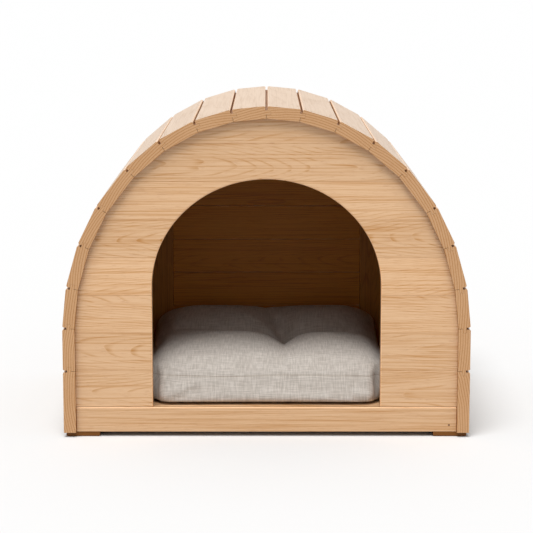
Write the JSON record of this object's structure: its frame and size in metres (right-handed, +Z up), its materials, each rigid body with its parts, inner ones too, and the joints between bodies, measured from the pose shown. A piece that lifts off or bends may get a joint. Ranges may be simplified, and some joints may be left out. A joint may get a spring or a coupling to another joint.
{
  "type": "indoor pet house",
  "caption": "Vaulted wooden indoor pet house of tongued and grooved staves, with an arched doorway, a boarded back and a loose tufted linen cushion.",
  "frame": {"origin": "on the ground under the middle of the house", "axes": "+Z up, -Y out of the doorway, +X to the right of someone facing the doorway"},
  "size_m": [0.6, 0.45, 0.4903],
  "materials": {
    "stave_wood": "pale planed boards under a clear matt oil",
    "panel_wood": "honey coloured edge-glued board, clear matt oil",
    "back_wood": "brown stained boards, matt",
    "frame_wood": "honey coloured planed wood, clear matt oil",
    "floor_plywood": "plywood, sanded",
    "foot_wood": "dark stained wood, matt",
    "dowel_wood": "beech dowels",
    "nail_steel": "dull steel brads",
    "screw_steel": "yellow passivated screws",
    "cushion_linen": "slubby natural linen weave",
    "cushion_filling": "white polyester fibre"
  },
  "bodies": {
    "house": {"back_board_1": "back_wood", "back_board_2": "back_wood", "back_board_3": "back_wood", "back_board_4": "back_wood", "back_board_5": "back_wood", "back_board_6": "back_wood", "back_board_7": "back_wood", "back_ledger": "frame_wood", "back_rail": "frame_wood", "batten_left_inner": "frame_wood", "batten_left_outer": "frame_wood", "batten_right_inner": "frame_wood", "batten_right_outer": "frame_wood", "batten_screws": "screw_steel", "floor_bearer": "frame_wood", "floor_panel": "floor_plywood", "floor_screws": "screw_steel", "foot_back_left": "foot_wood", "foot_back_right": "foot_wood", "foot_front_left": "foot_wood", "foot_front_right": "foot_wood", "foot_screws": "screw_steel", "frame_dowels": "dowel_wood", "front_ledger": "frame_wood", "front_panel": "panel_wood", "front_rail": "frame_wood", "left_rail": "frame_wood", "right_rail": "frame_wood", "stave_01": "stave_wood", "stave_02": "stave_wood", "stave_03": "stave_wood", "stave_04": "stave_wood", "stave_05": "stave_wood", "stave_06": "stave_wood", "stave_07": "stave_wood", "stave_08": "stave_wood", "stave_09": "stave_wood", "stave_10": "stave_wood", "stave_11": "stave_wood", "stave_12": "stave_wood", "stave_13": "stave_wood", "stave_14": "stave_wood", "stave_15": "stave_wood", "stave_16": "stave_wood", "stave_17": "stave_wood", "stave_18": "stave_wood", "stave_19": "stave_wood", "stave_20": "stave_wood", "stave_nails": "nail_steel"},
    "cushion": {"cushion_cover": "cushion_linen", "cushion_fill": "cushion_filling"}
  },
  "joints": [
    {"name": "cushion_slide", "type": "slide", "parent": "house", "child": "cushion", "axis": [0, -1, 0], "range_m": [0, 0.2], "deforming": ["cushion_cover", "cushion_fill"]}
  ]
}
